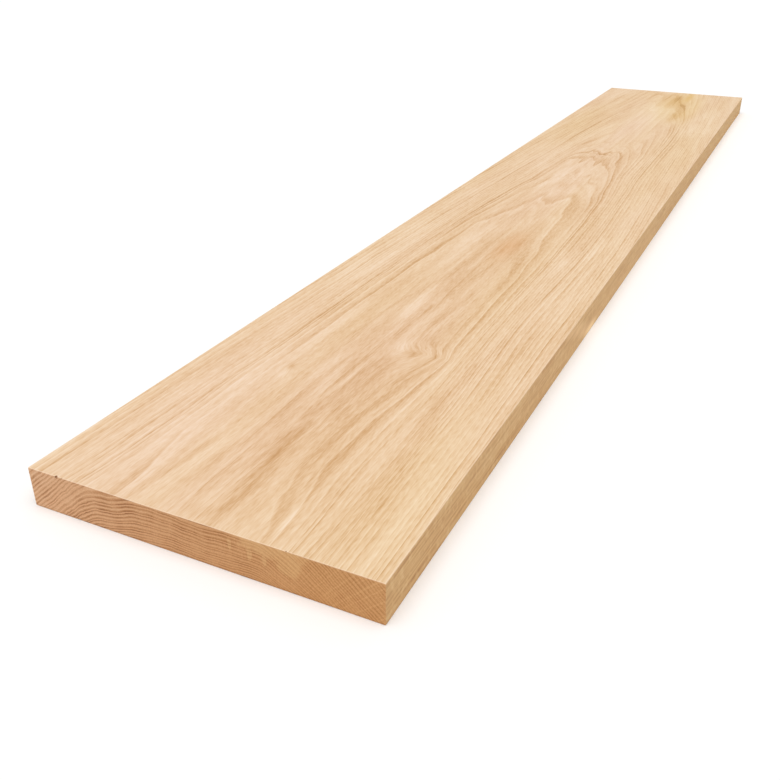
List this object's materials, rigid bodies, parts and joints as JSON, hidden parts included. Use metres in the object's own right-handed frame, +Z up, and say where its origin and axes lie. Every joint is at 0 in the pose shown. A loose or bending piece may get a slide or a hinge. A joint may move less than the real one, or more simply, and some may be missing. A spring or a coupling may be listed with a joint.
{
  "type": "stair tread",
  "caption": "Solid flat-sawn oak stair tread: a straight planed board with square-cut ends and lightly eased edges, laid flat as a step.",
  "frame": {"origin": "middle of the underside", "axes": "+X along the tread from string to string, +Y across it towards the back edge where the riser meets it, +Z up; the front edge is at -Y"},
  "size_m": [1.6, 0.26, 0.03],
  "materials": {
    "oak": "planed and sanded, bare, satin"
  },
  "bodies": {
    "root": {"tread_board": "oak"}
  },
  "joints": []
}
